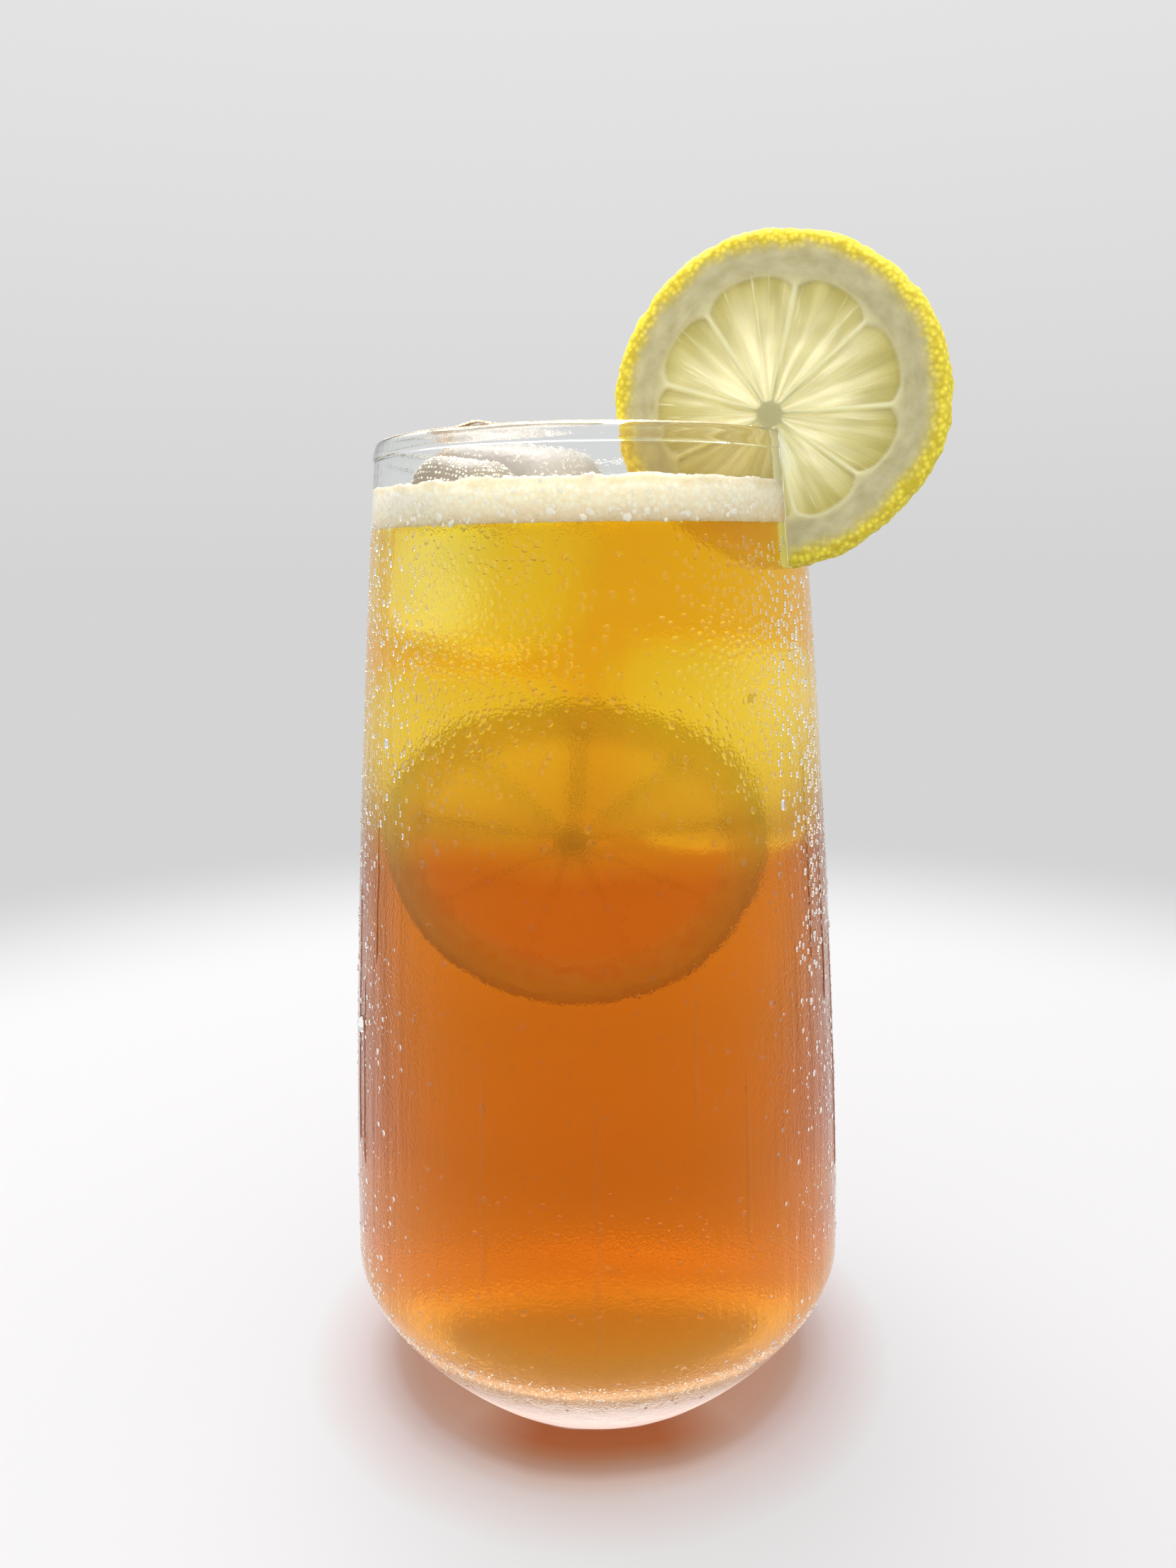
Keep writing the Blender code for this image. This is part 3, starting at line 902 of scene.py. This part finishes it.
def ice_tan_and_shade(point, shape):
    """How tan a block looks: its edges at the left, and, as painted shade, the small block all over."""
    size, place, angles = shape
    turn = Euler([math.radians(a) for a in angles]).to_matrix().inverted()
    local = turn @ (point - Vector(place))
    across, along, up = [abs(c) / (s / 2) for c, s in zip(local, size)]
    near_edge = smoothstep(1.30, 1.55, across + up) + smoothstep(1.30, 1.55, across + along)
    left = smoothstep(2 * MM, -8 * MM, local.x)
    # The small block gets painted shade all over
    return min(min(near_edge, 1) * left + (0.6 if size[0] < 20 * MM else 0), 1)


def make_leaf():
    """Crumb of tea leaf that hangs near the glass at the right, with a painted glow."""
    leaf = smooth(ice_block("tea_leaf", LEAF, 0, 5))
    n = Nodes("tea_leaf")
    grain = n.noise(n.object_place(), 1500.0)
    shader = n.shader({
        "Base Color": n.mix(grain, (0.70, 0.40, 0.10), (0.95, 0.70, 0.25)),
        "Roughness": 0.5,
        # Painted glow
        "Emission Color": (1.0, 0.62, 0.12, 1),
        "Emission Strength": 0.14,
    })
    assign(leaf, n.surface(shader))
    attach(leaf, BODY)


def milky_glow_share(point):
    """How milky the ice in the tea is, and so how much painted glow it has, highest in a few named places."""
    return min(sum(math.exp(-((point - place).length / reach) ** 2) for place, reach in MILKY_ICE_GLOW_SPOTS), 1)


def make_ice():
    material = ice_material("ice")
    sunk = sunk_ice_material()
    for name, shape in ICE_OUT.items():
        ice = smooth(ice_block(name + "_block", shape, 0, 18))
        add_mask(ice, "tan_and_shade", [ice_tan_and_shade(vertex.co, shape) for vertex in ice.data.vertices])
        add_mask(ice, "cloudy", [milky_glow_share(vertex.co) for vertex in ice.data.vertices])
        assign(ice, material)
        ice.data.materials.append(sunk)
        for polygon in ice.data.polygons:
            polygon.material_index = 1 if polygon.center.z < TEA_TOP else 0
        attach(ice, BODY)
        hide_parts(name)
    for name, shape in ICE_SUNK.items():
        ice = smooth(ice_block(name, shape, -SUNK_ICE_SHRINK, 14))
        add_mask(ice, "cloudy", [milky_glow_share(vertex.co) for vertex in ice.data.vertices])
        assign(ice, sunk)
        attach(ice, BODY)


def wall_normal(turn, z):
    step = 0.5 * MM
    slope = (outer_radius(z + step) - outer_radius(z - step)) / (2 * step)
    return Vector((math.sin(turn), -math.cos(turn), -slope)).normalized()


def on_wall(turn, z, radius=outer_radius):
    """Place on the glass; turn is 0 at the front and grows to the right."""
    return Vector((radius(z) * math.sin(turn), -radius(z) * math.cos(turn), z))


def wall_drop(turn, z, half_width, rise, stretch):
    """Drop on the outside of the glass, as domes() takes it."""
    return on_wall(turn, z), wall_normal(turn, z), half_width, rise, stretch


def domes(name, drops, steps, rows, base):
    """One mesh of many low domes, each given as middle, outward direction, half width, rise, stretch.

    Their flat undersides lie base above the middles."""
    draw = random.Random(len(drops))
    vertices = []
    faces = []
    for middle, outward, half_width, rise, stretch in drops:
        side = Vector((0, 0, 1)).cross(outward)
        side = side.normalized() if side.length > 0.1 else Vector((1, 0, 0))
        up = outward.cross(side)
        uneven = [half_width * draw.uniform(0.88, 1.12) for i in range(steps)]
        start = len(vertices)
        for row in range(rows):
            lift = math.pi / 2 * row / rows
            out = outward * (half_width * rise * math.sin(lift) + base)
            for i in range(steps):
                turn = math.tau * i / steps
                flat = side * math.cos(turn) + up * (math.sin(turn) * stretch)
                vertices.append(middle + out + flat * (uneven[i] * math.cos(lift)))
        vertices.append(middle + outward * (half_width * rise + base))
        for row in range(rows - 1):
            faces += band(start + row * steps, start + (row + 1) * steps, steps)
        last = start + (rows - 1) * steps
        faces += [(last + i, last + (i + 1) % steps, last + steps) for i in range(steps)]
        faces.append(tuple(start + i for i in reversed(range(steps))))
    return smooth(mesh_object(name, vertices, faces), 70)


def wetness(turn, z):
    """How thickly drops sit here: patches of condensation, thickest in a few named places."""
    place = Vector((math.sin(turn), math.cos(turn), z / (30 * MM)))
    wet = 0.18 + 0.30 * noise.noise(place * 2.1)
    for spot_turn, spot_z, turn_reach, z_reach, weight in WET_SPOTS:
        apart = math.remainder(turn - math.radians(spot_turn), math.tau) / math.radians(turn_reach)
        wet += weight * math.exp(-apart ** 2 - ((z - spot_z * MM) / (z_reach * MM)) ** 2)
    return wet


def wall_drops(count, small, large, seed):
    draw = random.Random(seed)
    drops = []
    while len(drops) < count:
        turn = draw.uniform(-math.pi, math.pi)
        z = draw.uniform(10 * MM, 139 * MM)
        near_wheel = 0.4 < turn < 1.3 and z > 130 * MM
        if not near_wheel and draw.random() < wetness(turn, z):
            half_width = small * (large / small) ** (draw.random() ** 2)
            shape = (draw.uniform(0.30, 0.46), draw.uniform(0.95, 1.25))
            drops.append(wall_drop(turn, z, half_width, *shape))
    return drops


def relief_drops():
    """Drops that nearly touch, where the glass looks embossed."""
    draw = random.Random(27)
    drops = []
    for turn_middle, z_middle, turn_spread, z_spread, count in RELIEF_SPOTS:
        for i in range(count):
            turn = math.radians(draw.gauss(turn_middle, turn_spread))
            z = draw.gauss(z_middle, z_spread) * MM
            half_width = draw.uniform(0.28, 0.55) * MM
            if z < TEA_TOP - 2 * MM:
                drops.append(wall_drop(turn, z, half_width, 0.44, draw.uniform(1.0, 1.3)))
    return drops


def spaced(drops, taken):
    """Those drops that keep clear of the ones in taken, which maps cells of space to their drops."""
    kept = []
    for drop in drops:
        middle, outward, half_width = drop[:3]
        cell = [int(c // DROP_CELL) for c in middle]
        near = []
        for step in NEAR_CELLS:
            near += taken.get(tuple(c + s for c, s in zip(cell, step)), [])
        if all((middle - other).length > half_width + reach for other, reach in near):
            taken.setdefault(tuple(cell), []).append((middle, half_width))
            kept.append(drop)
    return kept


def single_drops():
    """The few large beads that stand out on the glass."""
    return [wall_drop(math.radians(turn), z * MM, half_width * MM, 0.6, 1.25)
            for turn, z, half_width in LARGE_BEADS]


def water_runs(name):
    """Narrow trails that drops left as they ran down the glass, each closed at both ends."""
    draw = random.Random(12)
    vertices = []
    faces = []
    steps = 6
    for turn_degrees, top, length in WATER_RUNS:
        rows = int(length / 1.5)
        start = len(vertices)
        for row in range(rows + 1):
            share = row / rows
            z = (top - length * share) * MM
            turn = math.radians(turn_degrees) + 0.012 * noise.noise(Vector((turn_degrees, z / (7 * MM), 0)))
            outward = wall_normal(turn, z)
            side = Vector((0, 0, 1)).cross(outward).normalized()
            half_width = (0.22 + 0.28 * share + 0.08 * draw.random()) * MM
            if row in (0, rows):
                half_width *= 0.3
            for i in range(steps):
                around = math.tau * i / steps
                lift = 0.32 * math.sin(around) if math.sin(around) > 0 else 0.10 * math.sin(around)
                vertices.append(on_wall(turn, z) + (side * math.cos(around) + outward * lift) * half_width)
        for row in range(rows):
            faces += band(start + row * steps, start + (row + 1) * steps, steps)
        faces.append(tuple(start + i for i in reversed(range(steps))))
        faces.append(tuple(start + rows * steps + i for i in range(steps)))
    return smooth(mesh_object(name, vertices, faces), 60)


def ice_dew():
    """Tiny drops on the ice that stands out of the froth."""
    draw = random.Random(44)
    drops = []
    for shape in ICE_OUT.values():
        block = ice_block("dew_base", shape, 0, 18)
        dry = [v for v in block.data.vertices if v.co.z > FROTH_TOP + 0.5 * MM]
        for vertex in draw.sample(dry, min(len(dry), 420)):
            size = draw.uniform(0.08, 0.22) * MM
            drops.append((vertex.co.copy(), vertex.normal.copy(), size, 0.6, 1.0))
        bpy.data.objects.remove(block)
    return drops


def foot_painted_glints():
    """Fine pale drops where the drink ends above the solid base; with their glow they are painted glints of a
    sparkling band.
    """
    draw = random.Random(31)
    drops = []
    for i in range(1500):
        turn = draw.uniform(-math.pi, math.pi)
        z = draw.gauss(15.6, 1.1) * MM
        size = draw.uniform(0.07, 0.17) * MM
        drops.append(wall_drop(turn, z, size, 0.5, 1.0))
    return drops


def rim_drops():
    """Fine froth left along the lip, with one larger cluster at the front left."""
    draw = random.Random(5)
    half = (RIM_RADIUS - inner_radius(HEIGHT)) / 2
    drops = []
    for i in range(900):
        turn = draw.triangular(-80, 46, -8)
        drops.append((turn, draw.uniform(-0.5, 0.3) * half, draw.uniform(0.08, 0.17) * MM, 0.06 * MM))
    for i in range(90):
        turn = draw.gauss(-27.5, 2.6)
        heap = 0.45 * MM * math.exp(-((turn + 27.5) / 3.2) ** 2)
        drops.append((turn, draw.uniform(-0.5, 0.4) * half, draw.uniform(0.18, 0.38) * MM, 0.12 * MM - heap))
    placed = []
    for turn, shift, size, depth in drops:
        turn = math.radians(turn)
        radius = RIM_RADIUS - half + shift
        middle = Vector((radius * math.sin(turn), -radius * math.cos(turn), HEIGHT - depth))
        placed.append((middle, Vector((0, 0, 1)), size, 0.9, 1.0))
    return placed


def in_ice(x, y, margin):
    for size, place, angles in ICE_OUT.values():
        turn = math.radians(-angles[2])
        dx, dy = x - place[0], y - place[1]
        across = dx * math.cos(turn) - dy * math.sin(turn)
        along = dx * math.sin(turn) + dy * math.cos(turn)
        if abs(across) < size[0] / 2 + margin and abs(along) < size[1] / 2 + margin:
            return True
    return False


def froth_bubbles():
    """Bubbles on top of the froth and, lower ones, all along the glass that holds it."""
    draw = random.Random(8)
    drops = []
    edge = inner_radius(FROTH_TOP)
    while len(drops) < 1500:
        turn = draw.uniform(0, math.tau)
        radius = edge * draw.random() ** (0.5 if draw.random() < 0.6 else 0.12)
        size = draw.uniform(0.16, 0.75) * MM * draw.uniform(0.5, 1.0)
        x, y = radius * math.cos(turn), radius * math.sin(turn)
        if radius + size < edge and not in_ice(x, y, size):
            drops.append((Vector((x, y, froth_height(x, y))), Vector((0, 0, 1)), size, 0.7, 1.0))
    for i in range(1500):
        turn = draw.uniform(-math.pi, math.pi)
        z = draw.triangular(TEA_TOP - 0.3 * MM, FROTH_TOP + 0.8 * MM, TEA_TOP + 1 * MM)
        size = draw.uniform(0.18, 0.62) * MM * draw.uniform(0.5, 1.0)
        middle = on_wall(turn, z, inner_radius)
        outward = Vector((math.sin(turn), -math.cos(turn), 0))
        drops.append((middle + outward * 0.3 * MM, outward, size, 0.35, 1.0))
    return drops


def make_drops():
    """Condensation outside the glass, dew on the ice, froth on the lip and bubbles on the froth."""
    dew = water_material("dew", (0.94, 0.95, 0.95), 1.20)
    water = water_material("water", (0.94, 0.95, 0.94), 1.25)
    relief_water = water_material("relief_water", (0.98, 0.97, 0.93), 1.30)
    hair = 0.01 * MM
    sunk = 0.05 * MM
    taken = {}
    singles = spaced(single_drops(), taken)
    relief = spaced(relief_drops(), taken)
    beads = spaced(wall_drops(*BEAD_DROPS), taken)
    fine = spaced(wall_drops(*FINE_DROPS), taken)
    pieces = (
        (domes("condensation_fine", fine, 6, 2, hair), dew, "glass"),
        (domes("condensation_beads", singles + beads, 10, 3, hair), water, "glass"),
        (domes("condensation_relief", relief, 10, 3, hair), relief_water, "glass"),
        (water_runs("water_runs"), dew, "glass"),
        (domes("ice_dew", ice_dew(), 6, 2, 0), bubble_material("ice_dew"), "ice"),
        # The pale glowing drops round the foot are painted glints
        (domes("foot_painted_glints", foot_painted_glints(), 6, 2, hair), bubble_material("foot_glint_bubble"), "glass"),
        (domes("rim_froth", rim_drops(), 8, 3, 0), rim_froth_material(), "glass"),
        (domes("froth_bubbles", froth_bubbles(), 8, 3, -sunk), bubble_material("froth_bubble"), "foam"),
    )
    for piece, material, slot in pieces:
        assign(piece, material)
        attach(piece, BODY)


def make_stage():
    bpy.ops.mesh.primitive_circle_add(vertices=128, radius=FLOOR_RADIUS, fill_type="NGON")
    floor = bpy.context.object
    floor.name = "studio_floor"
    assign(floor, floor_material())


def make_world():
    """Grey backdrop all round, a bright softbox of a sky overhead and a darker room in front."""
    world = bpy.data.worlds.new("studio")
    bpy.context.scene.world = world
    world.use_nodes = True
    tree = world.node_tree
    place = tree.nodes.new("ShaderNodeTexCoord")
    split = tree.nodes.new("ShaderNodeSeparateXYZ")
    sky = tree.nodes.new("ShaderNodeValToRGB")
    room = tree.nodes.new("ShaderNodeMapRange")
    product = tree.nodes.new("ShaderNodeMath")
    product.operation = "MULTIPLY"
    tree.links.new(place.outputs["Generated"], split.inputs[0])
    tree.links.new(split.outputs["Z"], sky.inputs["Fac"])
    tree.links.new(split.outputs["Y"], room.inputs["Value"])
    for key, value in zip(("From Min", "From Max", "To Min", "To Max"), (-0.8, 0.1, ROOM_IN_FRONT, 1.0)):
        room.inputs[key].default_value = value
    tree.links.new(sky.outputs["Color"], tree.nodes["Background"].inputs["Color"])
    tree.links.new(room.outputs["Result"], product.inputs[0])
    product.inputs[1].default_value = SKY_STRENGTH
    tree.links.new(product.outputs[0], tree.nodes["Background"].inputs["Strength"])
    stops = [(place, level / SKY_STRENGTH) for place, level in SKY_LEVELS]
    elements = sky.color_ramp.elements
    elements[0].position = stops[0][0]
    elements[1].position = stops[-1][0]
    for place, level in stops[1:-1]:
        elements.new(place)
    for element, (place, level) in zip(elements, stops):
        element.color = (level, level, level, 1)


def make_light():
    light = bpy.data.lights.new("overhead", "AREA")
    light.energy = LAMP_POWER
    light.shape = "DISK"
    light.size = LAMP_SIZE
    lamp = link(bpy.data.objects.new("overhead", light))
    lamp.location = LAMP_PLACE
    lamp.rotation_euler = (Vector(LAMP_AIM) - lamp.location).to_track_quat("-Z", "Y").to_euler()


def make_camera():
    data = bpy.data.cameras.new("camera")
    data.lens = CAMERA_LENS_MM
    data.sensor_width = CAMERA_SENSOR_MM
    camera = link(bpy.data.objects.new("camera", data))
    look = Matrix.Rotation(CAMERA_YAW, 4, "Z") @ Matrix.Rotation(math.pi / 2 - CAMERA_PITCH, 4, "X")
    look = look @ Matrix.Rotation(CAMERA_ROLL, 4, "Z")
    camera.matrix_world = Matrix.Translation((0, -CAMERA_DISTANCE, CAMERA_HEIGHT)) @ look
    bpy.context.scene.camera = camera


def build():
    make_camera()
    make_stage()
    make_world()
    make_light()
    make_glass()
    make_tea()
    make_froth()
    make_ice()
    make_wheel()
    make_sunk_slice()
    make_leaf()
    make_drops()
    scene = bpy.context.scene
    scene.view_settings.view_transform = "Standard"
    scene.cycles.max_bounces = LIGHT_BOUNCES
    scene.cycles.transmission_bounces = LIGHT_BOUNCES
    scene.cycles.transparent_max_bounces = CLEAR_BOUNCES


build()
